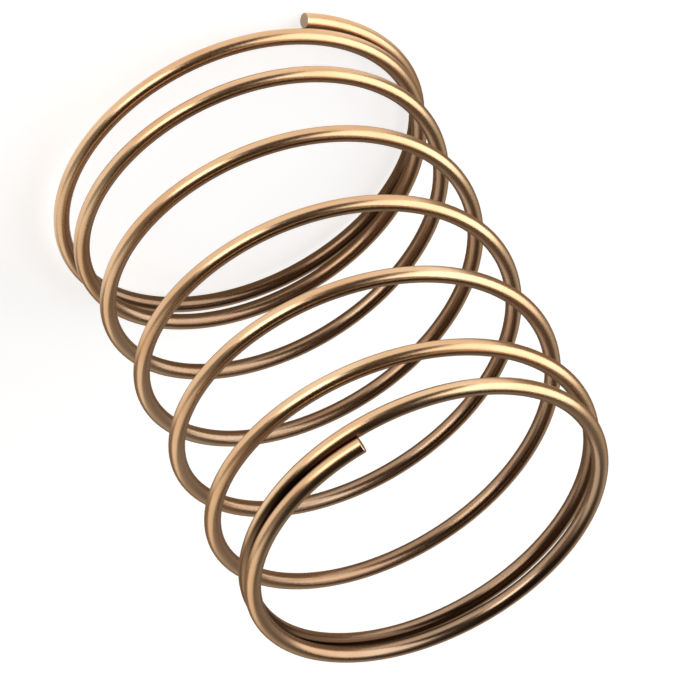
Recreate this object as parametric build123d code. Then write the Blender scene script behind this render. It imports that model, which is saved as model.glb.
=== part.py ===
"""Compression spring of an injection pump, coiled left-handed from one round wire.

Both ends are closed and left unground: the last coil at each end lies almost against its neighbour,
and the pitch then opens to that of the active coils. The lower end opens slowly, over about three
turns, and the upper end within little more than one. The wire is cut square at both tips.

Frame: the spring stands on its lower end, and the origin is on its axis, where it touches the
ground. +Z runs along the axis to the upper end, and the wire starts on the +X side. Lengths are in
millimetres. Places along the wire are counted in turns from its lower tip.
"""

import os
from math import cos, pi, sin

from build123d import *

# The wire and the barrel that it is coiled into.
WIRE_DIAMETER = 1.25
MEAN_DIAMETER = 28.75
TOTAL_TURNS = 7.87
LEFT_HANDED = True

# The pitch is how far the wire rises in one turn. Closed coils have a gap too small to see.
ACTIVE_PITCH = 7.5
CLOSED_GAP = 0.03

# Turns over which each end opens from closed to active, and how long the upper end stays closed.
LOWER_OPENING_TURNS = 3.25
UPPER_OPENING_TURNS = 1.2
UPPER_CLOSED_TURNS = 0.9

# The lowest coils are wound wider in diameter than the barrel, and the uppermost ones narrower.
LOWER_FLARE = 1.9
LOWER_FLARE_TURNS = 1.4
UPPER_TAPER = 0.9
UPPER_TAPER_TURNS = 2.1

# Both tips are drawn in towards the axis where the wire was cut off.
LOWER_TIP_INSET = 0.7
UPPER_TIP_INSET = 0.2
TIP_INSET_TURNS = 0.3

# The coil is a chain of circular arcs, each leaving along the one before it.
ARCS_PER_TURN = 12


def ease(share):
    """Rise smoothly from 0 to 1 while the share goes from 0 to 1."""
    share = min(max(share, 0.0), 1.0)
    return share * share * (3 - 2 * share)


def pitch_at(turn):
    """Rise of the wire in one turn, at this place along it."""
    closed = WIRE_DIAMETER + CLOSED_GAP
    opened = ease(turn / LOWER_OPENING_TURNS)
    opened *= ease((TOTAL_TURNS - turn - UPPER_CLOSED_TURNS) / UPPER_OPENING_TURNS)
    return closed + (ACTIVE_PITCH - closed) * opened


def radius_at(turn):
    """Distance of the wire's centre from the axis, at this place along it."""
    turns_left = TOTAL_TURNS - turn
    flare = LOWER_FLARE / 2 * ease(1 - turn / LOWER_FLARE_TURNS)
    taper = UPPER_TAPER / 2 * ease(1 - turns_left / UPPER_TAPER_TURNS)
    inset = LOWER_TIP_INSET * ease(1 - turn / TIP_INSET_TURNS)
    inset += UPPER_TIP_INSET * ease(1 - turns_left / TIP_INSET_TURNS)
    return MEAN_DIAMETER / 2 + flare - taper - inset


def centre_points():
    """Points along the wire's centre line, one at each joint between two arcs."""
    arcs = round(TOTAL_TURNS * ARCS_PER_TURN)
    step = TOTAL_TURNS / arcs
    winding = -1 if LEFT_HANDED else 1
    height = WIRE_DIAMETER / 2
    points = []
    for i in range(arcs + 1):
        angle = winding * 2 * pi * i * step
        radius = radius_at(i * step)
        points.append(Vector(radius * cos(angle), radius * sin(angle), height))
        height += step * pitch_at((i + 0.5) * step)
    return points


def centre_line():
    """Chain of arcs through the centre points, starting along the helix at the lower tip."""
    points = centre_points()
    winding = -1 if LEFT_HANDED else 1
    heading = Vector(0, winding * 2 * pi * radius_at(0), pitch_at(0))
    arcs = []
    for start, end in zip(points, points[1:]):
        arc = TangentArc(start, end, tangent=heading)
        arcs.append(arc)
        heading = arc % 1
    return Wire(arcs)


def coiled_wire():
    """Round wire along the centre line, cut square at both tips."""
    path = centre_line()
    section = Plane(path @ 0, z_dir=path % 0) * Circle(WIRE_DIAMETER / 2)
    return sweep(section, path=path)


spring = coiled_wire()
spring.label = "spring"

os.makedirs("parts", exist_ok=True)
export_step(spring, "parts/spring.step")

free_length = spring.bounding_box().max.Z
wire_length = centre_line().length
print(f"free length {free_length:.2f} mm, wire length {wire_length:.1f} mm")
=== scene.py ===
"""Looks of a compression spring of an injection pump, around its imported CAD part.

Everything is in metres, in the part's own frame: the spring stands on z = 0 with its axis on +Z.
"""

from math import atan2, cos, pi, radians, sin

import bpy
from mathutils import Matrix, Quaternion, Vector


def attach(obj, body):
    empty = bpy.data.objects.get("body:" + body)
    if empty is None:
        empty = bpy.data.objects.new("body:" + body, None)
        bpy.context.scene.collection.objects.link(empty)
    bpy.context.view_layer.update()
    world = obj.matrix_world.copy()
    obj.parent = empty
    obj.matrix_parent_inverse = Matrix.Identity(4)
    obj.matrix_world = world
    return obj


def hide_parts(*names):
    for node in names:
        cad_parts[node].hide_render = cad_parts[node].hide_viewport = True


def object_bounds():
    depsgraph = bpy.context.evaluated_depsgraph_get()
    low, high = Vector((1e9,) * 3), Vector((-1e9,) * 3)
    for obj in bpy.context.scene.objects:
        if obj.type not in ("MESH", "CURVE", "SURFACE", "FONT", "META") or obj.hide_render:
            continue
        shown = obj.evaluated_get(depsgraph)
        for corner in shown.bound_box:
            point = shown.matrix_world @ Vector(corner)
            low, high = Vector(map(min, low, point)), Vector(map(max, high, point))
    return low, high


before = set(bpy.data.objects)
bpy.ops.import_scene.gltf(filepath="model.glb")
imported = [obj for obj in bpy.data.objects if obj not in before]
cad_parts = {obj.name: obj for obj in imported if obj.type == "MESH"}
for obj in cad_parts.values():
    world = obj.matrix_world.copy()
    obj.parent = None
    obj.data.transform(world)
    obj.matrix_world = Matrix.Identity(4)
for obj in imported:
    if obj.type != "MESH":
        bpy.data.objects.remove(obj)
cad_box = [list(corner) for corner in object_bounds()]

# The spring: one length of round steel wire, coiled left-handed on a mandrel at a pitch that is
# closed at both ends and open between them. It was sheared off square at both tips, and nothing
# holds it: it stands on its lowest coil. Places along the wire are in turns from its lower tip.
MM = 0.001
COIL = {
    "Wire diameter": 1.25 * MM,
    "Mean diameter": 28.75 * MM,
    "Turns": 7.87,
    "Active pitch": 7.5 * MM,
    "Closed gap": 0.03 * MM,
    "Lower opening turns": 3.25,
    "Upper opening turns": 1.2,
    "Upper closed turns": 0.9,
    "Lower flare": 1.9 * MM,
    "Lower flare turns": 1.4,
    "Upper taper": 0.9 * MM,
    "Upper taper turns": 2.1,
    "Lower tip inset": 0.7 * MM,
    "Upper tip inset": 0.2 * MM,
    "Tip inset turns": 0.3,
    # The sizes down to here are the part's own. Its source leaves out what follows.
    "Askew coil": 0.45 * MM,
    "Askew coil turn": 6.65,
    "Askew coil half span": 0.6,
    "Upper flat": 0.24 * MM,
    "Upper flat turn": 7.3,
    "Upper flat half span": 0.33,
    "Lower flat": 0.16 * MM,
    "Lower flat turn": 1.4,
    "Lower flat half span": 0.33,
    "Lower bulge": 0.12 * MM,
    "Lower bulge turn": 0.38,
    "Lower bulge half span": 0.18,
    "Cut edge": 0.05 * MM,
    "Rings per turn": 120,
    "Facets around": 28,
}


def add_node(tree, kind, inputs=None, **settings):
    """Add one node, set its properties, and give each input a value, a socket or another node.

    An input goes by the name that the node shows, or by its number where two share one. A node given
    as a value stands for the first output that it shows.
    """
    node = tree.nodes.new(kind)
    for name, value in settings.items():
        setattr(node, name, value)
    for name, value in (inputs or {}).items():
        shown = [socket for socket in node.inputs if socket.enabled and socket.name == name]
        socket = shown[0] if shown else node.inputs[name]
        if isinstance(value, bpy.types.Node):
            value = next(output for output in value.outputs if output.enabled)
        if isinstance(value, bpy.types.NodeSocket):
            tree.links.new(value, socket)
        else:
            socket.default_value = value
    return node


def linear(hex_colour):
    """A colour written as sRGB hex, as the linear RGBA that the shaders take."""
    channels = [int(hex_colour[i : i + 2], 16) / 255 for i in (0, 2, 4)]
    return [c / 12.92 if c <= 0.04045 else ((c + 0.055) / 1.055) ** 2.4 for c in channels] + [1]


coil_tree = bpy.data.node_groups.new("coil_spring", "GeometryNodeTree")
coil_tree.is_modifier = True
for name, value in COIL.items():
    kind = "NodeSocketInt" if isinstance(value, int) else "NodeSocketFloat"
    coil_tree.interface.new_socket(name, in_out="INPUT", socket_type=kind)
coil_tree.interface.new_socket("Finish", in_out="INPUT", socket_type="NodeSocketMaterial")
coil_tree.interface.new_socket("Spring", in_out="OUTPUT", socket_type="NodeSocketGeometry")
size = coil_tree.nodes.new("NodeGroupInput").outputs

# One point for each ring of the wire, with its place along it. The last ring is the upper tip.
exact_rings = add_node(
    coil_tree, "ShaderNodeMath", {0: size["Turns"], 1: size["Rings per turn"]}, operation="MULTIPLY"
)
rings = add_node(coil_tree, "ShaderNodeMath", {0: exact_rings}, operation="ROUND")
step = add_node(coil_tree, "ShaderNodeMath", {0: size["Turns"], 1: rings}, operation="DIVIDE")
index = add_node(coil_tree, "GeometryNodeInputIndex")
turn = add_node(coil_tree, "ShaderNodeMath", {0: index, 1: step}, operation="MULTIPLY")
turns_left = add_node(coil_tree, "ShaderNodeMath", {0: size["Turns"], 1: turn}, operation="SUBTRACT")

# The pitch opens from closed to active at both ends, and is read halfway to the next ring. The
# heights are its running sum.
half_on = add_node(coil_tree, "ShaderNodeMath", {0: index, 1: 0.5}, operation="ADD")
turn_ahead = add_node(coil_tree, "ShaderNodeMath", {0: half_on, 1: step}, operation="MULTIPLY")
left_ahead = add_node(
    coil_tree, "ShaderNodeMath", {0: size["Turns"], 1: turn_ahead}, operation="SUBTRACT"
)
past_closed_coil = add_node(
    coil_tree, "ShaderNodeMath", {0: left_ahead, 1: size["Upper closed turns"]}, operation="SUBTRACT"
)
opened = 1.0
for span, place in {"Lower opening turns": turn_ahead, "Upper opening turns": past_closed_coil}.items():
    opening_inputs = {"Value": place, "From Max": size[span]}
    opening = add_node(
        coil_tree, "ShaderNodeMapRange", opening_inputs, interpolation_type="SMOOTHSTEP"
    )
    opened = add_node(coil_tree, "ShaderNodeMath", {0: opened, 1: opening}, operation="MULTIPLY")
closed_pitch = add_node(
    coil_tree, "ShaderNodeMath", {0: size["Wire diameter"], 1: size["Closed gap"]}, operation="ADD"
)
pitch_range = add_node(
    coil_tree, "ShaderNodeMath", {0: size["Active pitch"], 1: closed_pitch}, operation="SUBTRACT"
)
pitch = add_node(
    coil_tree, "ShaderNodeMath", {0: pitch_range, 1: opened, 2: closed_pitch}, operation="MULTIPLY_ADD"
)
ring_rise = add_node(coil_tree, "ShaderNodeMath", {0: pitch, 1: step}, operation="MULTIPLY")
rise = add_node(coil_tree, "GeometryNodeAccumulateField", {"Value": ring_rise}).outputs["Trailing"]
wire_radius = add_node(coil_tree, "ShaderNodeMath", {0: size["Wire diameter"], 1: 2}, operation="DIVIDE")
height = add_node(coil_tree, "ShaderNodeMath", {0: rise, 1: wire_radius}, operation="ADD")

# The lowest coils are wider than the barrel, the uppermost narrower, and both tips are drawn in. The
# end coils are a little uneven too: the last but one lies askew, off the axis towards -Y, the last
# and the second have a slight flat, and the first bulges below that. Each change of radius fades
# smoothly with the distance from where it is largest.
fades = {
    "Lower flare": (turn, "Lower flare turns"),
    "Upper taper": (turns_left, "Upper taper turns"),
    "Lower tip inset": (turn, "Tip inset turns"),
    "Upper tip inset": (turns_left, "Tip inset turns"),
}
for name in ("Askew coil", "Upper flat", "Lower flat", "Lower bulge"):
    offset = add_node(
        coil_tree, "ShaderNodeMath", {0: turn, 1: size[f"{name} turn"]}, operation="SUBTRACT"
    )
    distance = add_node(coil_tree, "ShaderNodeMath", {0: offset}, operation="ABSOLUTE")
    fades[name] = (distance, f"{name} half span")
changes = {}
for name, (distance, span) in fades.items():
    fade_inputs = {"Value": distance, "From Max": size[span], "To Min": size[name], "To Max": 0.0}
    changes[name] = add_node(
        coil_tree, "ShaderNodeMapRange", fade_inputs, interpolation_type="SMOOTHSTEP"
    )
angle = add_node(coil_tree, "ShaderNodeMath", {0: turn, 1: -2 * pi}, operation="MULTIPLY")
cosine = add_node(coil_tree, "ShaderNodeMath", {0: angle}, operation="COSINE")
sine = add_node(coil_tree, "ShaderNodeMath", {0: angle}, operation="SINE")
towards_minus_y = add_node(coil_tree, "ShaderNodeMath", {0: sine, 1: -1}, operation="MULTIPLY")
shares = {
    "Lower flare": 0.5,
    "Upper taper": -0.5,
    "Lower tip inset": -1,
    "Upper tip inset": -1,
    "Askew coil": towards_minus_y,
    "Upper flat": -1,
    "Lower flat": -1,
    "Lower bulge": 1,
}
radius = add_node(coil_tree, "ShaderNodeMath", {0: size["Mean diameter"], 1: 2}, operation="DIVIDE")
for name, share in shares.items():
    radius_inputs = {0: changes[name], 1: share, 2: radius}
    radius = add_node(coil_tree, "ShaderNodeMath", radius_inputs, operation="MULTIPLY_ADD")
place_x = add_node(coil_tree, "ShaderNodeMath", {0: radius, 1: cosine}, operation="MULTIPLY")
place_y = add_node(coil_tree, "ShaderNodeMath", {0: radius, 1: sine}, operation="MULTIPLY")
place = add_node(coil_tree, "ShaderNodeCombineXYZ", {"X": place_x, "Y": place_y, "Z": height})
straight = add_node(coil_tree, "GeometryNodeCurvePrimitiveLine")
ring_count = add_node(coil_tree, "ShaderNodeMath", {0: rings, 1: 1}, operation="ADD")
even = add_node(coil_tree, "GeometryNodeResampleCurve", {"Curve": straight, "Count": ring_count})
coiled = add_node(coil_tree, "GeometryNodeSetPosition", {"Geometry": even, "Position": place})

# Each ring keeps its place on the straight wire, and the clear height to the coils above and below
# it. The last turn at each end has no coil on its far side.
TIP_FADE_TURNS = 0.1
along = add_node(coil_tree, "GeometryNodeSplineParameter").outputs["Length"]
kept = {"Along": along, "Barrel": radius.outputs[0], "Height": height.outputs[0]}
for side, way, turns_to_tip in (("above", "ADD", turns_left), ("below", "SUBTRACT", turn)):
    neighbour_ring = add_node(
        coil_tree, "ShaderNodeMath", {0: index, 1: size["Rings per turn"]}, operation=way
    )
    neighbour_inputs = {"Value": height, "Index": neighbour_ring}
    neighbour = add_node(coil_tree, "GeometryNodeFieldAtIndex", neighbour_inputs)
    climb = add_node(coil_tree, "ShaderNodeMath", {0: neighbour, 1: height}, operation="SUBTRACT")
    spacing = add_node(coil_tree, "ShaderNodeMath", {0: climb}, operation="ABSOLUTE")
    room = add_node(
        coil_tree, "ShaderNodeMath", {0: spacing, 1: size["Wire diameter"]}, operation="SUBTRACT"
    )
    past_last_turn = add_node(coil_tree, "ShaderNodeMath", {0: turns_to_tip, 1: 1}, operation="SUBTRACT")
    coil_there = add_node(
        coil_tree,
        "ShaderNodeMapRange",
        {"Value": past_last_turn, "From Max": TIP_FADE_TURNS},
        interpolation_type="SMOOTHSTEP",
    )
    kept[f"Room {side}"] = room.outputs[0]
    kept[f"Coil {side}"] = coil_there.outputs[0]
wire_line = add_node(coil_tree, "GeometryNodeCaptureAttribute", {"Geometry": coiled})
for name, value in kept.items():
    wire_line.capture_items.new("FLOAT", name)
    coil_tree.links.new(value, wire_line.inputs[name])

# The round section is swept along the coil.
circle_inputs = {"Resolution": size["Facets around"], "Radius": wire_radius}
circle = add_node(coil_tree, "GeometryNodeCurvePrimitiveCircle", circle_inputs)
section = add_node(coil_tree, "GeometryNodeCaptureAttribute", {"Geometry": circle})
section.capture_items.new("VECTOR", "Across")
section_place = add_node(coil_tree, "GeometryNodeInputPosition").outputs["Position"]
coil_tree.links.new(section_place, section.inputs["Across"])
swept = add_node(
    coil_tree,
    "GeometryNodeCurveToMesh",
    {"Curve": wire_line, "Profile Curve": section, "Fill Caps": True},
)

# Each point of the skin keeps where it was on the straight wire, how far it is on the coil's outer
# side (from -1 to 1), the room up to the next coil, and how far it is turned to that one.
across = add_node(coil_tree, "ShaderNodeSeparateXYZ", {"Vector": section.outputs["Across"]}).outputs
unrolled = add_node(
    coil_tree,
    "ShaderNodeCombineXYZ",
    {"X": across["X"], "Y": across["Y"], "Z": wire_line.outputs["Along"]},
)
on_skin = add_node(coil_tree, "GeometryNodeInputPosition")
level_place = add_node(coil_tree, "ShaderNodeVectorMath", {0: on_skin, 1: (1, 1, 0)}, operation="MULTIPLY")
from_axis = add_node(coil_tree, "ShaderNodeVectorMath", {0: level_place}, operation="LENGTH")
outward = add_node(
    coil_tree, "ShaderNodeMath", {0: from_axis, 1: wire_line.outputs["Barrel"]}, operation="SUBTRACT"
)
outer_side = add_node(coil_tree, "ShaderNodeMath", {0: outward, 1: wire_radius}, operation="DIVIDE")
skin_height = add_node(coil_tree, "ShaderNodeSeparateXYZ", {"Vector": on_skin}).outputs["Z"]
above_middle = add_node(
    coil_tree, "ShaderNodeMath", {0: skin_height, 1: wire_line.outputs["Height"]}, operation="SUBTRACT"
)
up_side = add_node(coil_tree, "ShaderNodeMath", {0: above_middle, 1: wire_radius}, operation="DIVIDE")
upper_half = add_node(coil_tree, "ShaderNodeMath", {0: up_side, 1: 0}, operation="GREATER_THAN")
on_its_side = {}
for name in ("Room", "Coil"):
    side_inputs = {
        "Factor": upper_half,
        "A": wire_line.outputs[f"{name} below"],
        "B": wire_line.outputs[f"{name} above"],
    }
    on_its_side[name] = add_node(coil_tree, "ShaderNodeMix", side_inputs)
off_level = add_node(coil_tree, "ShaderNodeMath", {0: up_side}, operation="ABSOLUTE")
turned_to_coil = add_node(
    coil_tree, "ShaderNodeMath", {0: off_level, 1: on_its_side["Coil"]}, operation="MULTIPLY"
)
skin = swept
for name, data_type, value in (
    ("straight_wire", "FLOAT_VECTOR", unrolled),
    ("outer_side", "FLOAT", outer_side),
    ("room_to_next_coil", "FLOAT", on_its_side["Room"]),
    ("turned_to_next_coil", "FLOAT", turned_to_coil),
):
    store_inputs = {"Geometry": skin, "Name": name, "Value": value}
    skin = add_node(coil_tree, "GeometryNodeStoreNamedAttribute", store_inputs, data_type=data_type)
rounded = add_node(coil_tree, "GeometryNodeSetShadeSmooth", {"Geometry": skin})

# The shears left a small worn edge round each cut face, which stays flat and bare. The cut faces are
# the only ones with more corners than the skin's.
SKIN_CORNERS = 4
corners = add_node(coil_tree, "GeometryNodeInputMeshFaceNeighbors").outputs["Vertex Count"]
is_cut = add_node(
    coil_tree,
    "FunctionNodeCompare",
    {"A": corners, "B": SKIN_CORNERS},
    data_type="INT",
    operation="GREATER_THAN",
)
worn = add_node(
    coil_tree,
    "GeometryNodeExtrudeMesh",
    {"Mesh": rounded, "Selection": is_cut, "Offset Scale": size["Cut edge"]},
)
flat_radius = add_node(
    coil_tree, "ShaderNodeMath", {0: wire_radius, 1: size["Cut edge"]}, operation="SUBTRACT"
)
narrowing = add_node(coil_tree, "ShaderNodeMath", {0: flat_radius, 1: wire_radius}, operation="DIVIDE")
narrowed = add_node(
    coil_tree,
    "GeometryNodeScaleElements",
    {"Geometry": worn, "Selection": worn.outputs["Top"], "Scale": narrowing},
)
marked = add_node(
    coil_tree,
    "GeometryNodeStoreNamedAttribute",
    {"Geometry": narrowed, "Name": "cut_face", "Value": worn.outputs["Top"]},
    data_type="FLOAT",
    domain="FACE",
)
flat_cuts = add_node(
    coil_tree,
    "GeometryNodeSetShadeSmooth",
    {"Geometry": marked, "Selection": worn.outputs["Top"], "Shade Smooth": False},
)
real = add_node(coil_tree, "GeometryNodeRealizeInstances", {"Geometry": flat_cuts})
finished = add_node(coil_tree, "GeometryNodeSetMaterial", {"Geometry": real, "Material": size["Finish"]})
add_node(coil_tree, "NodeGroupOutput", {"Spring": finished})

# Drawn spring steel, stress-relieved in an oven. The heat left a thin oxide film, straw to bronze in
# colour, in soft patches that are drawn out along the wire. Under it the metal has a satin sheen.
FILM_PATCH = [2 * MM, 2 * MM, 9 * MM]
DARK_FILM_BELOW = 0.3
DARK_FILM = "daab7e"
DARK_FILM_ROUGHNESS = 0.29
PALE_FILM_ABOVE = 0.7
PALE_FILM = "ecc9a0"
PALE_FILM_ROUGHNESS = 0.24
spring_steel = bpy.data.materials.new("straw_oxide_on_drawn_spring_steel")
spring_steel.use_nodes = True
steel = spring_steel.node_tree
steel.nodes.clear()
on_wire = add_node(steel, "ShaderNodeAttribute", attribute_name="straight_wire").outputs["Vector"]
film_scale = [1 / length for length in FILM_PATCH]
film_place = add_node(steel, "ShaderNodeMapping", {"Vector": on_wire, "Scale": film_scale})
film_inputs = {"Vector": film_place, "Scale": 1.0, "Detail": 3.0, "Roughness": 0.55}
film = add_node(steel, "ShaderNodeTexNoise", film_inputs)
film_tones = add_node(steel, "ShaderNodeValToRGB", {"Fac": film})
dark_stop, pale_stop = film_tones.color_ramp.elements
dark_stop.position = DARK_FILM_BELOW
dark_stop.color = linear(DARK_FILM)
pale_stop.position = PALE_FILM_ABOVE
pale_stop.color = linear(PALE_FILM)
sheen = add_node(
    steel,
    "ShaderNodeMapRange",
    {
        "Value": film,
        "From Min": DARK_FILM_BELOW,
        "From Max": PALE_FILM_ABOVE,
        "To Min": DARK_FILM_ROUGHNESS,
        "To Max": PALE_FILM_ROUGHNESS,
    },
)

# The drawing die left fine lines along the wire. They are drawn several times as wide as real ones,
# which would be too fine to show.
DIE_LINE = [0.09 * MM, 0.09 * MM, 14 * MM]
DIE_LINE_DEPTH = 0.01 * MM
DIE_LINE_STRENGTH = 0.35
line_scale = [1 / length for length in DIE_LINE]
line_place = add_node(steel, "ShaderNodeMapping", {"Vector": on_wire, "Scale": line_scale})
line_inputs = {"Vector": line_place, "Scale": 1.0, "Detail": 2.0}
die_lines = add_node(steel, "ShaderNodeTexNoise", line_inputs)
relief = add_node(
    steel,
    "ShaderNodeBump",
    {"Height": die_lines, "Strength": DIE_LINE_STRENGTH, "Distance": DIE_LINE_DEPTH},
)

# Painted shade: the film is darker and greyer on the inner side of the coils.
INNER_SIDE_PAINTED_SHADE = "cacad2"
PAINTED_SHADE_FULL_TO = -0.5
PAINTED_SHADE_GONE_FROM = 0.4
on_outer_side = add_node(steel, "ShaderNodeAttribute", attribute_name="outer_side").outputs["Fac"]
clear_of_painted_shade = add_node(
    steel,
    "ShaderNodeMapRange",
    {"Value": on_outer_side, "From Min": PAINTED_SHADE_FULL_TO, "From Max": PAINTED_SHADE_GONE_FROM},
    interpolation_type="SMOOTHSTEP",
)
inner_painted_shade = add_node(
    steel,
    "ShaderNodeMix",
    {"Factor": 1.0, "A": film_tones, "B": linear(INNER_SIDE_PAINTED_SHADE)},
    data_type="RGBA",
    blend_type="MULTIPLY",
)
tone = add_node(
    steel, "ShaderNodeMix", {"Factor": clear_of_painted_shade, "A": inner_painted_shade, "B": film_tones}, data_type="RGBA"
)

# Painted shade: dark brown is painted in the seams between closed coils, on their inner sides and
# all round where they touch.
CREVICE_PAINTED_SHADE = "462e1c"
SEAM_WIDTH = 2.4 * MM
NEARLY_TOUCHING = 0.25 * MM
FACING_SEAM = 0.6
seam_room = add_node(steel, "ShaderNodeAttribute", attribute_name="room_to_next_coil").outputs["Fac"]
facing = add_node(steel, "ShaderNodeAttribute", attribute_name="turned_to_next_coil").outputs["Fac"]
narrow = add_node(
    steel,
    "ShaderNodeMapRange",
    {"Value": seam_room, "From Min": SEAM_WIDTH, "From Max": 0.0},
    interpolation_type="SMOOTHSTEP",
)
touching = add_node(
    steel,
    "ShaderNodeMapRange",
    {"Value": seam_room, "From Min": NEARLY_TOUCHING, "From Max": COIL["Closed gap"]},
    interpolation_type="SMOOTHSTEP",
)
in_seam = add_node(
    steel,
    "ShaderNodeMapRange",
    {"Value": facing, "From Max": FACING_SEAM},
    interpolation_type="SMOOTHSTEP",
)
inner_side_share = add_node(steel, "ShaderNodeMath", {0: 1.0, 1: clear_of_painted_shade}, operation="SUBTRACT")
on_inner_side = add_node(steel, "ShaderNodeMath", {0: narrow, 1: inner_side_share}, operation="MULTIPLY")
seam_painted_shade = add_node(steel, "ShaderNodeMath", {0: on_inner_side, 1: touching}, operation="MAXIMUM")
painted_crevice_shade_share = add_node(steel, "ShaderNodeMath", {0: seam_painted_shade, 1: in_seam}, operation="MULTIPLY")
skin_with_painted_shade = add_node(
    steel,
    "ShaderNodeMix",
    {"Factor": painted_crevice_shade_share, "A": tone, "B": linear(CREVICE_PAINTED_SHADE)},
    data_type="RGBA",
)

# The cut faces are torn bare steel: greyer and duller than the drawn skin.
TORN_STEEL = "a8917a"
TORN_ROUGHNESS = 0.45
cut_face = add_node(steel, "ShaderNodeAttribute", attribute_name="cut_face").outputs["Fac"]
skin_or_cut = add_node(
    steel,
    "ShaderNodeMix",
    {"Factor": cut_face, "A": skin_with_painted_shade, "B": linear(TORN_STEEL)},
    data_type="RGBA",
)
polish = add_node(steel, "ShaderNodeMix", {"Factor": cut_face, "A": sheen, "B": TORN_ROUGHNESS})
surface = add_node(
    steel,
    "ShaderNodeBsdfPrincipled",
    {"Base Color": skin_or_cut, "Metallic": 1.0, "Roughness": polish, "Normal": relief},
)
add_node(steel, "ShaderNodeOutputMaterial", {"Surface": surface})

# The tree grows the spring on a blank object, and what it makes becomes a plain mesh.
growing = bpy.data.objects.new("growing_spring", bpy.data.meshes.new("blank"))
bpy.context.scene.collection.objects.link(growing)
coiler = growing.modifiers.new("coiler", "NODES")
coiler.node_group = coil_tree
for item in coil_tree.interface.items_tree:
    if item.in_out == "INPUT":
        coiler[item.identifier] = spring_steel if item.name == "Finish" else COIL[item.name]
depsgraph = bpy.context.evaluated_depsgraph_get()
coiled_mesh = bpy.data.meshes.new_from_object(growing.evaluated_get(depsgraph), depsgraph=depsgraph)
bpy.data.objects.remove(growing)

# A flat map, named OFBake, for baking the finish. The straightened skin is cut into strips, which
# lie side by side, and the two cut faces lie above them as discs.
STRIPS = 13
STRIPS_HEIGHT = 0.97
STRIP_PITCH = STRIPS_HEIGHT / STRIPS
STRIP_END_MARGIN = 0.015
DISC_PLACES = ((0.25, 0.985), (0.75, 0.985))
FLAT_CUT_SHARE = 0.75
unrolled_places = [place.vector for place in coiled_mesh.attributes["straight_wire"].data]
wire_length = max(place.z for place in unrolled_places)
strip_length = wire_length / STRIPS
cut_corners = {
    v for face in coiled_mesh.polygons if len(face.vertices) > SKIN_CORNERS for v in face.vertices
}
bake_map = coiled_mesh.uv_layers.new(name="OFBake").uv


def strip_places(places):
    """Map places of a face of the wire's skin: along its strip, and round the wire across it."""
    strip = min(int(sum(place.z for place in places) / len(places) / strip_length), STRIPS - 1)
    half_facet = pi / COIL["Facets around"]
    rounds = [(atan2(place.y, place.x) + pi + half_facet) % (2 * pi) for place in places]
    if max(rounds) - min(rounds) > pi:
        rounds = [around + 2 * pi if around < pi else around for around in rounds]
    shares = [strip + 1 - place.z / strip_length for place in places]
    return [
        (STRIP_END_MARGIN + (1 - 2 * STRIP_END_MARGIN) * share, (strip + around / (2 * pi)) * STRIP_PITCH)
        for share, around in zip(shares, rounds)
    ]


def disc_places(places, flat):
    """Map places of a face at a cut: its flat lies inside its worn edge."""
    middle_u, middle_v = DISC_PLACES[places[0].z > wire_length / 2]
    scales = [(FLAT_CUT_SHARE if inside else 1) / strip_length for inside in flat]
    return [
        (middle_u + place.x * scale, middle_v + place.y * scale) for place, scale in zip(places, scales)
    ]


for face in coiled_mesh.polygons:
    places = [unrolled_places[v] for v in face.vertices]
    at_cut = max(place.z for place in places) == min(place.z for place in places)
    if at_cut:
        mapped = disc_places(places, [v in cut_corners for v in face.vertices])
    else:
        mapped = strip_places(places)
    for corner, flat_place in zip(face.loop_indices, mapped):
        bake_map[corner].vector = flat_place

spring = bpy.data.objects.new("coiled_wire", coiled_mesh)
bpy.context.scene.collection.objects.link(spring)
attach(spring, "root")
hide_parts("spring")

# The floor: a pale matt board that the spring stands on. The camera sees it white, and it keeps the
# spring's shadow. Seen in the metal only, the board beyond the coil has painted shade, with a painted
# warm glow in it that stands in for light bounced off the coil.


def toward(azimuth, elevation):
    """Unit vector to a place seen from the spring. Azimuth 0 is towards -Y and 90 towards +X."""
    a, e = radians(azimuth), radians(elevation)
    return Vector((sin(a) * cos(e), -cos(a) * cos(e), sin(e)))


FLOOR_HALF = 1.5
BOARD = "cdccca"
FLOOR_GLOW = 0.71
FAR_SIDE_AZIMUTH = -38
FAR_SIDE_EDGE = 8 * MM
FAR_SIDE_PAINTED_SHADE = 0.9
FAR_SIDE_PAINTED_BOUNCE = "69522c"
floor_mesh = bpy.data.meshes.new("floor")
floor_corners = [(x * FLOOR_HALF, y * FLOOR_HALF, 0) for x, y in ((-1, -1), (1, -1), (1, 1), (-1, 1))]
floor_mesh.from_pydata(floor_corners, [], [(0, 1, 2, 3)])
floor = bpy.data.objects.new("floor", floor_mesh)
bpy.context.scene.collection.objects.link(floor)
matt_board = bpy.data.materials.new("matt_white_board")
matt_board.use_nodes = True
board = matt_board.node_tree
board.nodes.clear()

# To the camera and in the metal's reflections the board glows, so it is white under plain soft lamps.
path = add_node(board, "ShaderNodeLightPath").outputs
on_board = add_node(board, "ShaderNodeTexCoord").outputs["Object"]
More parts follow.
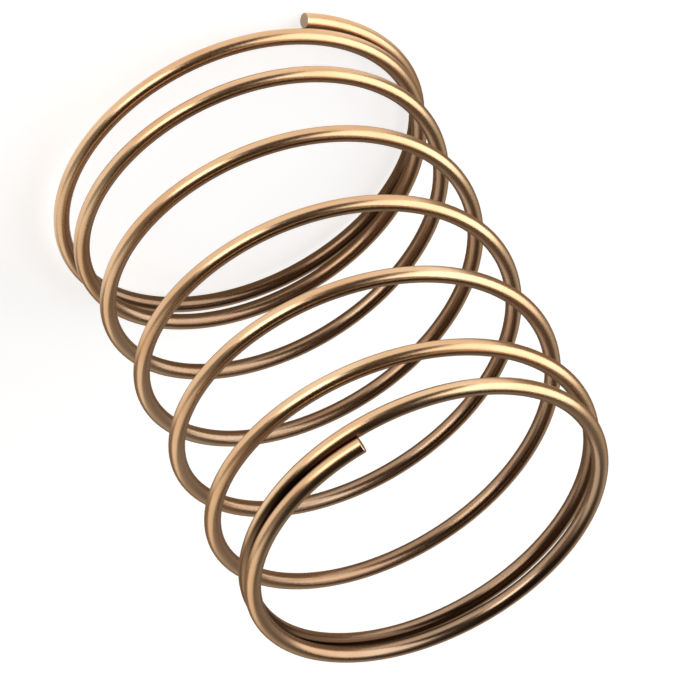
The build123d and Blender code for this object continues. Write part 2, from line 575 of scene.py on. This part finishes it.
# Painted shade and a painted bounce glow: glossy rays see the board's far side dimmed and warm.
away = add_node(
    board, "ShaderNodeVectorMath", {0: on_board, 1: toward(FAR_SIDE_AZIMUTH, 0)}, operation="DOT_PRODUCT"
)
far_side_painted_shade = add_node(
    board,
    "ShaderNodeMapRange",
    {"Value": away, "From Min": -FAR_SIDE_EDGE, "From Max": FAR_SIDE_EDGE, "To Max": FAR_SIDE_PAINTED_SHADE},
    interpolation_type="SMOOTHSTEP",
)
painted_shade_share = add_node(board, "ShaderNodeMath", {0: path["Is Glossy Ray"], 1: far_side_painted_shade}, operation="MULTIPLY")
seen = add_node(
    board, "ShaderNodeMath", {0: path["Is Camera Ray"], 1: path["Is Glossy Ray"]}, operation="MAXIMUM"
)
glow_level = add_node(board, "ShaderNodeMath", {0: seen, 1: FLOOR_GLOW}, operation="MULTIPLY")
matt = add_node(board, "ShaderNodeBsdfDiffuse", {"Color": linear(BOARD)})
glow = add_node(board, "ShaderNodeEmission", {"Color": linear("ffffff"), "Strength": glow_level})
lit = add_node(board, "ShaderNodeAddShader", {0: matt, 1: glow})
painted_bounce_glow = add_node(board, "ShaderNodeEmission", {"Color": linear(FAR_SIDE_PAINTED_BOUNCE)})
dimmed_with_painted_shade = add_node(board, "ShaderNodeMixShader", {0: painted_shade_share, 1: lit, 2: painted_bounce_glow})
add_node(board, "ShaderNodeOutputMaterial", {"Surface": dimmed_with_painted_shade})
floor_mesh.materials.append(matt_board)

# Plain soft studio light: soft boxes that stand round the spring, in a room with a dark ceiling. One
# side of the room is pale, and the side behind the camera is dark.
PALE_WALL_AZIMUTH = -70
PALE_WALL_EDGE = 0.5
PALE_WALL = "a6a19b"
DARK_WALL = "43311e"
WALL_TOP = 0.35
CEILING_EDGE = 0.85
CEILING = "160a02"
studio = bpy.data.worlds.new("room")
studio.use_nodes = True
walls_tree = studio.node_tree
walls_tree.nodes.clear()
ray = add_node(walls_tree, "ShaderNodeLightPath").outputs
direction_seen = add_node(walls_tree, "ShaderNodeTexCoord").outputs["Generated"]
upward = add_node(walls_tree, "ShaderNodeSeparateXYZ", {"Vector": direction_seen}).outputs["Z"]
pale_side = add_node(
    walls_tree,
    "ShaderNodeVectorMath",
    {0: direction_seen, 1: toward(PALE_WALL_AZIMUTH, 0)},
    operation="DOT_PRODUCT",
)
paleness = add_node(
    walls_tree,
    "ShaderNodeMapRange",
    {"Value": pale_side, "From Min": -PALE_WALL_EDGE, "From Max": PALE_WALL_EDGE},
    interpolation_type="SMOOTHSTEP",
)
walls = add_node(
    walls_tree,
    "ShaderNodeMix",
    {"Factor": paleness, "A": linear(DARK_WALL), "B": linear(PALE_WALL)},
    data_type="RGBA",
)
darkening = add_node(
    walls_tree,
    "ShaderNodeMapRange",
    {"Value": upward, "From Min": WALL_TOP, "From Max": CEILING_EDGE},
    interpolation_type="SMOOTHSTEP",
)
shade = add_node(
    walls_tree,
    "ShaderNodeMix",
    {"Factor": darkening, "A": walls, "B": linear(CEILING)},
    data_type="RGBA",
)

# The camera sees plain white past the floor. The room itself only gives light and reflections.
dim = add_node(walls_tree, "ShaderNodeBackground", {"Color": shade})
backdrop = add_node(walls_tree, "ShaderNodeBackground", {"Color": linear("ffffff"), "Strength": 1.0})
surround = add_node(walls_tree, "ShaderNodeMixShader", {0: ray["Is Camera Ray"], 1: dim, 2: backdrop})
add_node(walls_tree, "ShaderNodeOutputWorld", {"Surface": surround})
bpy.context.scene.world = studio

LAMP_DISTANCE = 0.5
spring_middle = Vector((0, 0, cad_box[1][2] / 2))


def soft_box(name, azimuth, elevation, width, height, watts, colour):
    """Area lamp at this place round the spring, turned to its middle."""
    lamp = bpy.data.lights.new(name, "AREA")
    lamp.shape = "RECTANGLE"
    lamp.size = width
    lamp.size_y = height
    lamp.energy = watts
    lamp.color = linear(colour)[:3]
    holder = bpy.data.objects.new(name, lamp)
    direction = toward(azimuth, elevation)
    holder.location = spring_middle + direction * LAMP_DISTANCE
    holder.rotation_mode = "QUATERNION"
    holder.rotation_quaternion = direction.to_track_quat("Z", "Y")
    bpy.context.scene.collection.objects.link(holder)


soft_box("key", azimuth=43, elevation=33, width=0.74, height=0.6, watts=2.87, colour="f8fbff")
soft_box("fill", azimuth=157, elevation=12, width=0.31, height=0.3, watts=0.85, colour="ffffff")
soft_box("bounce", azimuth=-108, elevation=20, width=0.44, height=0.44, watts=0.38, colour="ffffff")

# The camera stands where the photograph was taken from, rolled as the photograph is.
VIEW_AZIMUTH = 130.681
VIEW_ELEVATION = 37.017
VIEW_ROLL = 152.352
VIEW_DISTANCE = 372.797 * MM
VIEW_ASIDE = (0.705 * MM, 0.025 * MM)
FOCAL_PIXELS = 4938.0
IMAGE_PIXELS = 680
SENSOR_WIDTH = 36.0
lens = bpy.data.cameras.new("camera")
lens.sensor_width = SENSOR_WIDTH
lens.lens = FOCAL_PIXELS / IMAGE_PIXELS * SENSOR_WIDTH
camera = bpy.data.objects.new("camera", lens)
bpy.context.scene.collection.objects.link(camera)
upright = (-toward(VIEW_AZIMUTH, VIEW_ELEVATION)).to_track_quat("-Z", "Y")
rolled = upright @ Quaternion((0, 0, 1), radians(VIEW_ROLL))
camera.rotation_mode = "QUATERNION"
camera.rotation_quaternion = rolled
camera.location = spring_middle + rolled @ Vector((*VIEW_ASIDE, VIEW_DISTANCE))
bpy.context.scene.camera = camera
bpy.context.scene.view_settings.view_transform = "Standard"
